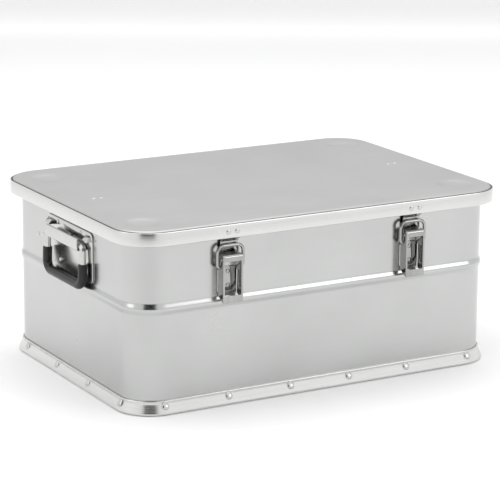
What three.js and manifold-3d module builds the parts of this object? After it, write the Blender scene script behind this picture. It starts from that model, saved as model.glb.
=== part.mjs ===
// Riveted aluminium transport box: a lidded case with two toggle latches, two drop handles and two hinges.
// Millimetres. X runs along the long side, the latches face -Y and +Z is up.
// The origin is the middle of the rectangle that the base frame stands on.
import * as THREE from 'three';
import { mergeVertices } from 'three/addons/utils/BufferGeometryUtils.js';
import Module from 'manifold-3d';

const wasm = await Module();
wasm.setup();

// ---- driving dimensions -------------------------------------------------------------------------
const GAP = 0.3; // left between pieces that touch
const CORNER_STEPS = 6; // flats in each rounded corner

const LID_LENGTH = 600;
const LID_DEPTH = 425;
const LID_CORNER = 55;
const BOX_HEIGHT = 256; // underside of the base frame to the top of the lid
const OVERHANG = 15; // lid band outside the body wall
const BAND_HEIGHT = 18.5;
const BAND_SHEET = 2;
const PANEL_SHEET = 1.5;
const PANEL_RISE = 2; // lid panel above the top edge of the band
const PANEL_EDGE_R = 5;
const LEDGE_WIDTH = 24; // inward ledge of the band's profile
const LEDGE_SHEET = 1.4;
const DIMPLE_R = 28; // stacking dimples in the lid
const DIMPLE_DEPTH = 2.6;
const DIMPLE_INSET = 50; // dimple centre in from the lid's ends
const DIMPLE_INSET_Y = 60; // and from its front and rear
const BOSS_R = 22; // stacking bosses under the floor

const WALL_SHEET = 1.6;
const BODY_CORNER = 45;
const BEAD_DROP = 90; // stiffening bead round the wall, below the lid band
const BEAD_HALF = 8.5;
const BEAD_OUT = 2.6;
const FLOOR_SHEET = 1.6;
const FLOOR_FLANGE = 16;
const FRAME_HEIGHT = 19.5;
const FRAME_FLARE = 7.4; // how far the foot of the base frame stands outside the wall
const FRAME_SHEET = 1.8;
const FRAME_LIP = 10; // lip under the floor, in from the wall
const RIM_HEIGHT = 14; // edge profile round the mouth
const RIM_SHEET = 1.8;
const GASKET_THICK = 1.8;

const LATCH_SPACING = 290;
const LATCH_SHIFT = -2; // both latches sit a little left of the middle
const LATCH_REACH = 16.8; // lever face outside the wall
const LATCH_WIDTH = 30.4;
const LATCH_SHEET = 1.5;
const LEVER_LENGTH = 65.7;
const LEVER_BACK = 1.8; // rear edge of the lever's sides, out from the wall
const LEVER_PIVOT_OUT = 10.5; // out from the wall
const LEVER_PIVOT_DOWN = 6.4; // below the top of the lever
const LOOP_PIVOT_OUT = 8.2;
const LOOP_PIVOT_DOWN = 17.4;
const LOOP_R = 2.2; // wire of the loop
const LOOP_CLEAR = 2.1; // between the loop's wire and the lever's sides
const LOOP_RISE = 14; // loop above the lever
const LOOP_DROP = 9.1; // top of the loop below the lid band
const HOOK_CLEAR = 0.8; // between the loop's bar and the catch behind it
const LATCH_PIN_R = 1.8;
const LEVER_SWING = 115; // degrees the lever opens

const HANDLE_WIDTH = 144;
const PLATE_DROP = 9.5; // top of the handle plate below the lid band
const PLATE_SHEET = 1.7;
const BAIL_HALF = 57; // centre of each leg from the middle
const BAIL_R = 4.6;
const ROD_CLEAR = 1.4; // between the rod and the plate
const BAIL_DOWN = 21; // bail's axis below the top of the plate
const BAIL_DROP = 55; // axis to the middle of the grip bar
const GRIP_R = 6.5;
const GRIP_LEG = 31; // grip sleeve up each leg, above the bar
const HOOD_HALF = 50;

const HINGE_SPACING = 292;
const HINGE_WIDTH = 60;
const HINGE_DROP = 5.5; // hinge axis below the lid band
const BARREL_R = 3.4;
const HINGE_PIN_R = 1.5;
const LID_SWING = 95; // degrees the lid opens, where its straps come taut

const STRAP_WIDTH = 25;
const STRAP_THICK = 1.6;
const STRAP_INSET = 58; // strap's rivets in from the lid's end
const STRAP_LID_Y = 3;
const STRAP_WALL_Y = 97;
const STRAP_DROP = 46.5; // strap's rivets on the wall, below the lid band

const RIVET_R = 5.2;
const RIVET_HEAD = 2.1;
const RIVETS_LONG = 6;
const RIVETS_SHORT = 4;
const RIVET_PITCH_LONG = 97;
const RIVET_PITCH_SHORT = 100;
const RIVET_DRIFT = [-2.5, 5, 3, 0, 0, 0]; // front rivets off their even pitch, right to left
const RIVET_SHIFT = 8; // rivets of the end walls, toward the front

// ---- sizes that follow from them ----------------------------------------------------------------
const LID_X = LID_LENGTH / 2;
const LID_Y = LID_DEPTH / 2;
const BODY_X = LID_X - OVERHANG;
const BODY_Y = LID_Y - OVERHANG;
const BAND_TOP = BOX_HEIGHT - PANEL_RISE;
const BAND_BOTTOM = BAND_TOP - BAND_HEIGHT;
const LEDGE_TOP = BOX_HEIGHT - PANEL_EDGE_R - PANEL_SHEET + GAP;
const LEDGE_BOTTOM = LEDGE_TOP - LEDGE_SHEET;
const RIM_TOP = LEDGE_BOTTOM - GASKET_THICK - 2 * GAP;
const WALL_TOP = RIM_TOP - RIM_SHEET - GAP;
const WALL_BOTTOM = FRAME_SHEET + GAP;
const BEAD_Z = BAND_BOTTOM - BEAD_DROP;
const LOOP_TOP = BAND_BOTTOM - LOOP_DROP;
const LATCH_TOP = LOOP_TOP - LOOP_RISE;
const LATCH_BOTTOM = LATCH_TOP - LEVER_LENGTH;
const LEVER_PIVOT = [LEVER_PIVOT_OUT, LATCH_TOP - LEVER_PIVOT_DOWN];
const LOOP_PIVOT = [LOOP_PIVOT_OUT, LATCH_TOP - LOOP_PIVOT_DOWN];
const PLATE_TOP = BAND_BOTTOM - PLATE_DROP;
const STRAP_LID_X = LID_X - STRAP_INSET;
const STRAP_WALL_Z = BAND_BOTTOM - STRAP_DROP;
const HINGE_Z = BAND_BOTTOM - HINGE_DROP;
const HINGE_OUT = LATCH_REACH - BARREL_R; // the barrels stand out as far as the latches

// ---- materials ----------------------------------------------------------------------------------
const finish = (color, roughness, metalness) =>
  new THREE.MeshStandardMaterial({ color, roughness, metalness });
const sheetAluminium = finish(0xc6c8c8, 0.4, 1);
const frameAluminium = finish(0xd6d8d8, 0.35, 1);
const steel = finish(0xb9babb, 0.18, 1);
const rubber = finish(0x1c1c1c, 0.8, 0);
const gripPlastic = finish(0x16181a, 0.45, 0);
const webbing = finish(0x22252a, 0.9, 0);

// ---- joining and cutting solids -----------------------------------------------------------------
function solidOf(geometry) {
  const bare = geometry.clone();
  bare.deleteAttribute('normal');
  bare.deleteAttribute('uv');
  const merged = mergeVertices(bare, 1e-4);
  return new wasm.Manifold(
    new wasm.Mesh({
      numProp: 3,
      vertProperties: new Float32Array(merged.attributes.position.array),
      triVerts: new Uint32Array(merged.index.array),
    }),
  );
}

function geometryOf(solid) {
  const mesh = solid.getMesh();
  const geometry = new THREE.BufferGeometry();
  geometry.setAttribute('position', new THREE.BufferAttribute(mesh.vertProperties, 3));
  geometry.setIndex(new THREE.BufferAttribute(mesh.triVerts, 1));
  return geometry;
}

const join = (first, ...others) =>
  geometryOf(others.reduce((sum, next) => sum.add(solidOf(next)), solidOf(first)));

const cut = (first, ...tools) =>
  geometryOf(tools.reduce((rest, tool) => rest.subtract(solidOf(tool)), solidOf(first)));

const common = (first, second) => geometryOf(solidOf(first).intersect(solidOf(second)));

// ---- shapes -------------------------------------------------------------------------------------
// Skin over a row of equal loops of points. A closed row joins its last loop to its first;
// an open row has a flat fan over each end.
function skin(loops, closed) {
  const size = loops[0].length;
  const points = loops.flat();
  const faces = [];
  const rows = closed ? loops.length : loops.length - 1;
  for (let row = 0; row < rows; row += 1) {
    const here = row * size;
    const next = ((row + 1) % loops.length) * size;
    for (let i = 0; i < size; i += 1) {
      const j = (i + 1) % size;
      faces.push([here + i, here + j, next + j], [here + i, next + j, next + i]);
    }
  }
  if (!closed) {
    for (const [start, order] of [[0, 1], [(loops.length - 1) * size, -1]]) {
      const middle = new THREE.Vector3();
      for (let i = 0; i < size; i += 1) middle.addScaledVector(points[start + i], 1 / size);
      points.push(middle);
      for (let i = 0; i < size; i += 1) {
        const j = (i + 1) % size;
        const face = [points.length - 1, start + j, start + i];
        faces.push(order > 0 ? face : face.reverse());
      }
    }
  }
  const volume = faces.reduce(
    (sum, [a, b, c]) => sum + points[a].dot(points[b].clone().cross(points[c])),
    0,
  );
  if (volume < 0) faces.forEach((face) => face.reverse());
  const geometry = new THREE.BufferGeometry().setFromPoints(points);
  geometry.setIndex(faces.flat());
  return geometry;
}

// Rounded rectangle at height z, offset outwards from the one with the given half sizes and corner.
function outline(halfX, halfY, corner, offset, z) {
  const loop = [];
  const signs = [[1, 1], [-1, 1], [-1, -1], [1, -1]];
  signs.forEach(([sx, sy], quarter) => {
    for (let step = 0; step <= CORNER_STEPS; step += 1) {
      const angle = (Math.PI / 2) * (quarter + step / CORNER_STEPS);
      const x = sx * (halfX - corner) + (corner + offset) * Math.cos(angle);
      const y = sy * (halfY - corner) + (corner + offset) * Math.sin(angle);
      loop.push(new THREE.Vector3(x, y, z));
    }
  });
  return loop;
}

// Profile of [offset, z] points carried round a rounded rectangle.
const bodyLoop = ([offset, z]) => outline(BODY_X, BODY_Y, BODY_CORNER, offset, z);
const lidLoop = ([offset, z]) => outline(LID_X, LID_Y, LID_CORNER, offset, z);
const bodyRing = (profile) => skin(profile.map(bodyLoop), true);
const lidRing = (profile) => skin(profile.map(lidLoop), true);

function shapeOf(points) {
  return new THREE.Shape(points.map(([a, b]) => new THREE.Vector2(a, b)));
}

// Outline of [y, z] points extruded along X between two places.
function prismX(points, fromX, toX) {
  const options = { depth: toX - fromX, bevelEnabled: false };
  const geometry = new THREE.ExtrudeGeometry(shapeOf(points), options);
  const turn = new THREE.Matrix4().makeBasis(
    new THREE.Vector3(0, 1, 0),
    new THREE.Vector3(0, 0, 1),
    new THREE.Vector3(1, 0, 0),
  );
  return geometry.applyMatrix4(turn).translate(fromX, 0, 0);
}

// Outline of [x, z] points extruded along Y between two places.
function prismY(points, fromY, toY) {
  const options = { depth: toY - fromY, bevelEnabled: false };
  return new THREE.ExtrudeGeometry(shapeOf(points), options).rotateX(Math.PI / 2).translate(0, toY, 0);
}

function block([x0, x1], [y0, y1], [z0, z1]) {
  const geometry = new THREE.BoxGeometry(x1 - x0, y1 - y0, z1 - z0);
  return geometry.translate((x0 + x1) / 2, (y0 + y1) / 2, (z0 + z1) / 2);
}

// Round bar along X, centred on [y, z].
function barX(radius, halfLength, [y, z], sides = 12) {
  const geometry = new THREE.CylinderGeometry(radius, radius, 2 * halfLength, sides);
  return geometry.rotateZ(Math.PI / 2).translate(0, y, z);
}

// Points on an arc, angles in degrees.
function arc([a, b], radius, from, to, steps) {
  return Array.from({ length: steps + 1 }, (_, i) => {
    const angle = THREE.MathUtils.degToRad(from + ((to - from) * i) / steps);
    return [a + radius * Math.cos(angle), b + radius * Math.sin(angle)];
  });
}

// Rectangle of [a, b] points with rounded corners.
function roundedPoints([a0, a1], [b0, b1], radius) {
  return [
    ...arc([a1 - radius, b1 - radius], radius, 0, 90, 3),
    ...arc([a0 + radius, b1 - radius], radius, 90, 180, 3),
    ...arc([a0 + radius, b0 + radius], radius, 180, 270, 3),
    ...arc([a1 - radius, b0 + radius], radius, 270, 360, 3),
  ];
}

// Round tube along flat [x, z] points at the distance y, with its joints mitred.
function tube(points, radius, y, sides) {
  const path = points.map(([x, z]) => new THREE.Vector2(x, z));
  const loops = path.map((point, i) => {
    const before = path[Math.max(i - 1, 0)];
    const after = path[Math.min(i + 1, path.length - 1)];
    const along = after.clone().sub(before).normalize();
    const leg = after.clone().sub(point.equals(after) ? before : point).normalize();
    const stretch = 1 / Math.max(along.dot(leg), 0.5);
    const side = new THREE.Vector2(-along.y, along.x).multiplyScalar(stretch);
    return Array.from({ length: sides }, (_, k) => {
      const angle = (2 * Math.PI * (k + 0.5)) / sides;
      const across = radius * Math.cos(angle);
      return new THREE.Vector3(
        point.x + side.x * across,
        y + radius * Math.sin(angle),
        point.y + side.y * across,
      );
    });
  });
  return skin(loops, false);
}

// ---- the assembly -------------------------------------------------------------------------------
const group = new THREE.Group();

function add(name, geometry, material, parent = group) {
  const mesh = new THREE.Mesh(geometry, material);
  mesh.name = name;
  parent.add(mesh);
  return mesh;
}

// Frame on the middle of one wall: its +Y points out of the box.
function wallFrame(x, y, turn) {
  const frame = new THREE.Group();
  frame.position.set(x, y, 0);
  frame.rotation.z = turn;
  group.add(frame);
  return frame;
}

// Body wall: one sheet bent round, with a rolled stiffening bead.
function beadArc(inset, from, to) {
  return arc([0, 0], 1, from, to, 5).map(([out, up]) => [
    BEAD_OUT * out - inset,
    BEAD_Z + (BEAD_HALF - inset * 0.5) * up,
  ]);
}
add(
  'body_shell',
  bodyRing([
    [0, WALL_BOTTOM],
    ...beadArc(0, -90, 90),
    [0, WALL_TOP],
    [-WALL_SHEET, WALL_TOP],
    ...beadArc(WALL_SHEET, 90, -90),
    [-WALL_SHEET, WALL_BOTTOM],
  ]),
  sheetAluminium,
);

// Floor pan: a tray inside the wall's foot, with four pressed stacking bosses.
const FLOOR_Z = WALL_BOTTOM;
const panSide = -WALL_SHEET - GAP;
const panOuter = skin(
  [[panSide, FLOOR_Z], [panSide, FLOOR_Z + FLOOR_FLANGE]].map(bodyLoop),
  false,
);
const panInner = skin(
  [
    [panSide - FLOOR_SHEET, FLOOR_Z + FLOOR_SHEET],
    [panSide - FLOOR_SHEET, FLOOR_Z + FLOOR_FLANGE + 1],
  ].map(bodyLoop),
  false,
);
const stackX = LID_X - DIMPLE_INSET;
const stackY = LID_Y - DIMPLE_INSET_Y;
function atStackPoints(make) {
  return [[1, 1], [-1, 1], [-1, -1], [1, -1]].map(([sx, sy]) =>
    make().rotateX(Math.PI / 2).translate(sx * stackX, sy * stackY, 0),
  );
}
const BOSS_DROP = 1.6;
const bossOuter = atStackPoints(() =>
  new THREE.CylinderGeometry(BOSS_R, BOSS_R - 2, BOSS_DROP + 1, 20).translate(
    0,
    FLOOR_Z - (BOSS_DROP - 1) / 2,
    0,
  ),
);
const bossInner = atStackPoints(() =>
  new THREE.CylinderGeometry(BOSS_R - 1.5, BOSS_R - 3.5, BOSS_DROP + 1, 20).translate(
    0,
    FLOOR_Z + FLOOR_SHEET - (BOSS_DROP - 1) / 2,
    0,
  ),
);
add('floor_pan', cut(join(cut(panOuter, panInner), ...bossOuter), ...bossInner), sheetAluminium);

// Base frame: a flared skirt round the foot of the wall, with a lip under the floor.
const FRAME_TOP_OUT = GAP + FRAME_SHEET;
const skirtSlope = Math.atan2(FRAME_FLARE - FRAME_TOP_OUT, FRAME_HEIGHT - 5.5);
add(
  'base_frame',
  bodyRing([
    [GAP, FRAME_HEIGHT],
    [GAP, FRAME_HEIGHT - 3],
    [FRAME_FLARE - FRAME_SHEET - 0.8, FRAME_SHEET + 3],
    [FRAME_FLARE - FRAME_SHEET - 1.8, FRAME_SHEET],
    [-FRAME_LIP, FRAME_SHEET],
    [-FRAME_LIP, 0],
    [FRAME_FLARE - 2.5, 0],
    [FRAME_FLARE - 0.6, 1],
    [FRAME_FLARE + 0.4, 3],
    [FRAME_FLARE, 5],
    [FRAME_TOP_OUT, FRAME_HEIGHT - 1],
    [FRAME_TOP_OUT - 0.8, FRAME_HEIGHT],
  ]),
  frameAluminium,
);

// Edge profile: caps the wall's upper edge and takes the lid's gasket.
add(
  'body_rim',
  bodyRing([
    [GAP, RIM_TOP - RIM_HEIGHT],
    [GAP + RIM_SHEET, RIM_TOP - RIM_HEIGHT],
    [GAP + RIM_SHEET, RIM_TOP],
    [-WALL_SHEET - GAP - RIM_SHEET, RIM_TOP],
    [-WALL_SHEET - GAP - RIM_SHEET, RIM_TOP - 8],
    [-WALL_SHEET - GAP, RIM_TOP - 8],
    [-WALL_SHEET - GAP, WALL_TOP + GAP],
    [GAP, WALL_TOP + GAP],
  ]),
  frameAluminium,
);

// Lid band: the profile round the lid, with a ledge inside it.
add(
  'lid_rim',
  lidRing([
    [0, BAND_BOTTOM],
    [0, BAND_TOP - 0.8],
    [-0.6, BAND_TOP],
    [-BAND_SHEET, BAND_TOP],
    [-BAND_SHEET, LEDGE_TOP],
    [-LEDGE_WIDTH, LEDGE_TOP],
    [-LEDGE_WIDTH, LEDGE_BOTTOM],
    [-BAND_SHEET, LEDGE_BOTTOM],
    [-BAND_SHEET, BAND_BOTTOM],
  ]),
  frameAluminium,
);

// Lid panel: a shallow pressed tray with a rounded edge and four stacking dimples.
const panelSide = -BAND_SHEET - GAP;
const panelFoot = LEDGE_TOP + GAP;
const edgeOuter = arc([panelSide - PANEL_EDGE_R, BOX_HEIGHT - PANEL_EDGE_R], PANEL_EDGE_R, 0, 90, 4);
const edgeInner = arc(
  [panelSide - PANEL_EDGE_R, BOX_HEIGHT - PANEL_EDGE_R],
  PANEL_EDGE_R - PANEL_SHEET,
  90,
  0,
  3,
);
const panel = skin(
  [
    ...edgeInner,
    [panelSide - PANEL_SHEET, panelFoot],
    [panelSide, panelFoot],
    ...edgeOuter,
  ].map(lidLoop),
  false,
);
const dimple = (radius, top, bottom) => () =>
  new THREE.CylinderGeometry(radius, radius - 7, top - bottom, 20).translate(0, (top + bottom) / 2, 0);
const dimpleBack = atStackPoints(
  dimple(DIMPLE_R + 1, BOX_HEIGHT - PANEL_SHEET / 2, BOX_HEIGHT - PANEL_SHEET - DIMPLE_DEPTH),
);
const dimpleFront = atStackPoints(dimple(DIMPLE_R, BOX_HEIGHT + 0.6, BOX_HEIGHT - DIMPLE_DEPTH));
add('lid_panel', cut(join(panel, ...dimpleBack), ...dimpleFront), sheetAluminium);

// Gasket under the ledge, pressed on the edge profile.
const gasketOuter = -OVERHANG + GAP + RIM_SHEET;
const gasketInner = -OVERHANG - WALL_SHEET - GAP - RIM_SHEET;
const gasketTop = LEDGE_BOTTOM - GAP;
add(
  'lid_gasket',
  lidRing([
    [gasketOuter, gasketTop - GASKET_THICK],
    [gasketOuter, gasketTop],
    [gasketInner, gasketTop],
    [gasketInner, gasketTop - GASKET_THICK],
  ]),
  rubber,
);

// Toggle latch: a base on the wall, a lever on a pin, a wire loop sprung into the lever's sides and a
// catch on the lid. The loop's bar stands in front of the catch.
const leverOuter = LATCH_WIDTH / 2;
const leverInner = leverOuter - LATCH_SHEET;
const cheekOuter = leverInner - 0.5;
const cheekInner = cheekOuter - LATCH_SHEET;
const pivotHole = barX(LATCH_PIN_R + GAP, LATCH_WIDTH, LEVER_PIVOT, 10);

function latchBase() {
  const [out, up] = LEVER_PIVOT;
  const eye = 4.2; // the lever's rolled top passes round it
  const cheekLow = up - 17;
  const cheekFront = LATCH_REACH - LATCH_SHEET - 0.8;
  const plate = block([-cheekOuter, cheekOuter], [GAP, GAP + LATCH_SHEET], [LATCH_BOTTOM + 11, up + 8]);
  const cheek = [
    [GAP, cheekLow],
    [cheekFront, cheekLow],
    [cheekFront, up - 3],
    ...arc([out, up], eye, -20, 230, 10),
    [GAP, up - 7.5],
  ];
  const left = prismX(cheek, -cheekOuter, -cheekInner);
  const right = prismX(cheek, cheekInner, cheekOuter);
  return cut(join(plate, left, right), pivotHole);
}

function latchLever() {
  const [out, up] = LEVER_PIVOT;
  const roll = 4;
  const side = [
    [LEVER_BACK, LATCH_BOTTOM + 8.5],
    [LATCH_REACH - LATCH_SHEET, LATCH_BOTTOM],
    [LATCH_REACH, LATCH_BOTTOM],
    ...arc([LATCH_REACH - roll, LATCH_TOP - roll], roll, 0, 90, 4),
    ...arc([out, up], 7.5, 120, 180, 4),
    [LEVER_BACK, up - 8],
  ];
  const clear = LATCH_REACH - LATCH_SHEET;
  const hollow = block(
    [-leverInner, leverInner],
    [0, clear],
    [LATCH_BOTTOM - 1, LATCH_TOP - LATCH_SHEET],
  );
  const throat = block([-leverInner, leverInner], [0, LATCH_REACH - 5], [up, LATCH_TOP + 2]);
  const windowCut = block(
    [-leverInner + 1.1, leverInner - 1.1],
    [clear - 1, LATCH_REACH + 1],
    [LATCH_BOTTOM + 9.7, LATCH_TOP - 9.1],
  );
  const loopHole = barX(LOOP_R + GAP, LATCH_WIDTH, LOOP_PIVOT, 10);
  return cut(prismX(side, -leverOuter, leverOuter), hollow, throat, windowCut, pivotHole, loopHole);
}

function latchLoop() {
  const [out, up] = LOOP_PIVOT;
  const arm = leverOuter + LOOP_CLEAR + LOOP_R;
  const bend = 4;
  const corner = 9;
  const bar = LOOP_TOP - LOOP_R;
  const half = [
    [leverInner + GAP, up],
    ...arc([arm - bend, up + bend], bend, 270, 360, 4),
    ...arc([arm - corner, bar - corner], corner, 0, 90, 5),
  ];
  const other = half.map(([x, z]) => [-x, z]).reverse();
  return tube([...half, ...other], LOOP_R, out, 10);
}

function latchCatch() {
  const bandFace = OVERHANG - BAND_SHEET - GAP;
  const hookFace = LOOP_PIVOT_OUT - LOOP_R - HOOK_CLEAR;
  const low = LATCH_TOP + 1.8;
  const top = LEDGE_BOTTOM - GAP;
  return prismX(
    [
      [bandFace, top],
      [bandFace - LATCH_SHEET, top],
      [bandFace - LATCH_SHEET, BAND_BOTTOM + 1.4],
      [hookFace - LATCH_SHEET, BAND_BOTTOM - 4.5],
      [hookFace - LATCH_SHEET, low],
      [hookFace, low],
      [hookFace, BAND_BOTTOM - 4.8],
      [bandFace, BAND_BOTTOM + 1],
    ],
    -cheekOuter,
    cheekOuter,
  );
}

for (const [side, sign] of [['left', -1], ['right', 1]]) {
  const frame = wallFrame((sign * LATCH_SPACING) / 2 + LATCH_SHIFT, -BODY_Y, Math.PI);
  add(`latch_base_${side}`, latchBase(), steel, frame);
  add(`latch_pin_${side}`, barX(LATCH_PIN_R, leverOuter + 0.8, LEVER_PIVOT, 10), steel, frame);
  add(`latch_lever_${side}`, latchLever(), steel, frame);
  add(`latch_loop_${side}`, latchLoop(), steel, frame);
  add(`latch_catch_${side}`, latchCatch(), steel, frame);
}

// Drop handle: a plate on the end wall, a hood for the rod, the rod bent into a bail and its grip.
const plateFace = GAP + PLATE_SHEET;
const axisOut = plateFace + ROD_CLEAR + BAIL_R;
const axisUp = PLATE_TOP - BAIL_DOWN;
const plateBottom = BEAD_Z + BEAD_HALF + 1.5;
const barUp = axisUp - BAIL_DROP;
const sleeveShare = 1 - GRIP_LEG / BAIL_DROP; // of the lean, at the top of the grip's sleeves
const barOut = Math.max(
  BEAD_OUT + 2.5 * GAP + GRIP_R, // the grip hangs clear of the bead
  axisOut + (plateFace + GAP + GRIP_R - axisOut) / sleeveShare, // and its sleeves of the plate
);
const lean = Math.asin((barOut - axisOut) / BAIL_DROP);
const hang = (geometry) =>
  geometry.translate(0, -axisOut, -axisUp).rotateX(lean).translate(0, axisOut, axisUp);
const hoodFace = axisOut + BAIL_R + 1.9;

function handlePlate() {
  const sheet = prismY(
    roundedPoints([-HANDLE_WIDTH / 2, HANDLE_WIDTH / 2], [plateBottom, PLATE_TOP], 7),
    GAP,
    plateFace,
  );
  const wedge = [
    [GAP, PLATE_TOP - 4],
    [GAP, axisUp + BAIL_R + 2],
    [axisOut, axisUp + BAIL_R + 2],
    [axisOut, axisUp + BAIL_R + 3.5],
  ];
  const earIn = BAIL_HALF - 5;
  const earOut = HANDLE_WIDTH / 2 - 3;
  return join(sheet, prismX(wedge, -earOut, -earIn), prismX(wedge, earIn, earOut));
}

function handleHood() {
  const foot = axisUp - BAIL_R - 2.2;
  const lip = axisUp + BAIL_R + 6.4;
  const sheet = LATCH_SHEET;
  return prismX(
    [
      [plateFace + GAP, foot],
      [hoodFace - 2, foot],
      [hoodFace, foot + 2],
      [hoodFace, lip - 2],
      [hoodFace - 1.2, lip],
      [hoodFace - 2.4, lip - 1],
      [hoodFace - sheet, lip - 3],
      [hoodFace - sheet, foot + 2.6],
      [hoodFace - 2.6, foot + sheet],
      [plateFace + GAP, foot + sheet],
    ],
    -HOOD_HALF,
    HOOD_HALF,
  );
}

const ELBOW_R = 6;
const BAR_CORNER_R = 14;
function bailLeg(sign, topPoints) {
  return [
    ...topPoints,
    ...arc([BAIL_HALF - BAR_CORNER_R, barUp + BAR_CORNER_R], BAR_CORNER_R, 0, -90, 5),
  ].map(([x, z]) => [sign * x, z]);
}
const rodTop = [
  [4, axisUp],
  ...arc([BAIL_HALF - ELBOW_R, axisUp - ELBOW_R], ELBOW_R, 90, 0, 3),
];
const sleeveTop = [[BAIL_HALF, barUp + GRIP_LEG]];
const aboveSleeve = [[BAIL_HALF, barUp + GRIP_LEG + 2]];
const bothSides = (top) => [...bailLeg(-1, top), ...bailLeg(1, top).reverse()];

for (const [side, sign] of [['left', -1], ['right', 1]]) {
  const frame = wallFrame(sign * BODY_X, 0, (-sign * Math.PI) / 2);
  add(`handle_plate_${side}`, handlePlate(), steel, frame);
  add(`handle_hood_${side}`, handleHood(), steel, frame);
  add(`handle_bail_${side}`, hang(tube(bothSides(rodTop), BAIL_R, axisOut, 10)), steel, frame);
  const sleeve = tube(bothSides(sleeveTop), GRIP_R, axisOut, 12);
  const bore = tube(bothSides(aboveSleeve), BAIL_R + GAP, axisOut, 10);
  add(`handle_grip_${side}`, hang(cut(sleeve, bore)), gripPlastic, frame);
}

// Hinge: a leaf on the rear wall, a leaf on the lid band and the pin through their knuckles.
const hingeHalf = HINGE_WIDTH / 2;
const knuckleHalf = hingeHalf / 3;
const HINGE_AXIS = [HINGE_OUT, HINGE_Z];
const LEAF_SHEET = 1.5;

function bodyLeaf() {
  const shelfTop = HINGE_Z - 7;
  const shelfBottom = shelfTop - 2;
  const leaf = [
    [GAP, shelfTop - 34],
    [GAP + LEAF_SHEET, shelfTop - 34],
    [GAP + LEAF_SHEET, shelfBottom],
    [HINGE_OUT - BARREL_R - 1, shelfBottom],
    [HINGE_OUT - BARREL_R - 1, shelfTop],
    [GAP, shelfTop],
  ];
  const arm = [
    [HINGE_OUT - BARREL_R - 3, shelfBottom],
    [HINGE_OUT - 2, shelfBottom],
    [HINGE_OUT + BARREL_R - 0.6, HINGE_Z - 1.6],
    [HINGE_OUT, HINGE_Z],
    [HINGE_OUT - BARREL_R + 0.4, HINGE_Z],
    [HINGE_OUT - BARREL_R - 3, shelfTop],
  ];
  const inner = knuckleHalf + GAP;
  const half = (hingeHalf - inner) / 2;
  const knuckles = [-1, 1].map((sign) =>
    barX(BARREL_R, half, HINGE_AXIS).translate(sign * (inner + half), 0, 0),
  );
  const arms = [prismX(arm, -hingeHalf, -inner), prismX(arm, inner, hingeHalf)];
  const whole = join(prismX(leaf, -hingeHalf, hingeHalf), ...arms, ...knuckles);
  return cut(whole, barX(HINGE_PIN_R + GAP, HINGE_WIDTH, HINGE_AXIS, 10));
}

function lidLeaf() {
  const face = OVERHANG + GAP;
  const sheet = block(
    [-hingeHalf, hingeHalf],
    [face, face + LEAF_SHEET],
    [BAND_BOTTOM + 1, BAND_TOP - 1.5],
  );
  const tongue = [
    [face, BAND_BOTTOM + 2],
    [face + LEAF_SHEET, BAND_BOTTOM + 2],
    [HINGE_OUT + BARREL_R - 0.3, HINGE_Z + 1],
    [HINGE_OUT - BARREL_R + 0.2, HINGE_Z + 1],
    [face, BAND_BOTTOM - 1],
  ];
  const whole = join(
    sheet,
    prismX(tongue, -knuckleHalf, knuckleHalf),
    barX(BARREL_R, knuckleHalf, HINGE_AXIS),
  );
  return cut(whole, barX(HINGE_PIN_R + GAP, HINGE_WIDTH, HINGE_AXIS, 10));
}

for (const [side, sign] of [['left', -1], ['right', 1]]) {
  const frame = wallFrame((sign * HINGE_SPACING) / 2, BODY_Y, 0);
  add(`hinge_body_leaf_${side}`, bodyLeaf(), steel, frame);
  add(`hinge_lid_leaf_${side}`, lidLeaf(), steel, frame);
  add(`hinge_pin_${side}`, barX(HINGE_PIN_R, hingeHalf + 0.6, HINGE_AXIS, 10), steel, frame);
}

// Lid strap: webbing from the end wall to the underside of the lid. With the lid open it is a
// straight line between its two ends; each point of the closed strap is that line's point turned
// back about the hinge, by a share of the swing that grows smoothly with height.
const hingeY = BODY_Y + HINGE_OUT;
const STRAP_STEPS = 22;
const strapStart = STRAP_WALL_Z + 6;
const strapEnd = BOX_HEIGHT - PANEL_SHEET - 4;
const swing = THREE.MathUtils.degToRad(LID_SWING);
const strapWallX = BODY_X - WALL_SHEET - GAP - STRAP_THICK / 2;
const strapLidZ = BOX_HEIGHT - PANEL_SHEET - 4 * GAP - STRAP_THICK / 2;

const turned = (y, z, angle) => [
  hingeY + (y - hingeY) * Math.cos(angle) + (z - HINGE_Z) * Math.sin(angle),
  HINGE_Z - (y - hingeY) * Math.sin(angle) + (z - HINGE_Z) * Math.cos(angle),
];
const lidShare = (z) => THREE.MathUtils.smoothstep(z, strapStart, strapEnd);

function strapPoint(s) {
  const [openY, openZ] = turned(STRAP_LID_Y, strapLidZ, swing);
  const y = STRAP_WALL_Y + s * (openY - STRAP_WALL_Y);
  const z = STRAP_WALL_Z + s * (openZ - STRAP_WALL_Z);
  let low = 0;
  let high = 1;
  for (let i = 0; i < 40; i += 1) {
    const share = (low + high) / 2;
    if (lidShare(turned(y, z, -share * swing)[1]) > share) low = share;
    else high = share;
  }
  return turned(y, z, -low * swing);
}

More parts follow.
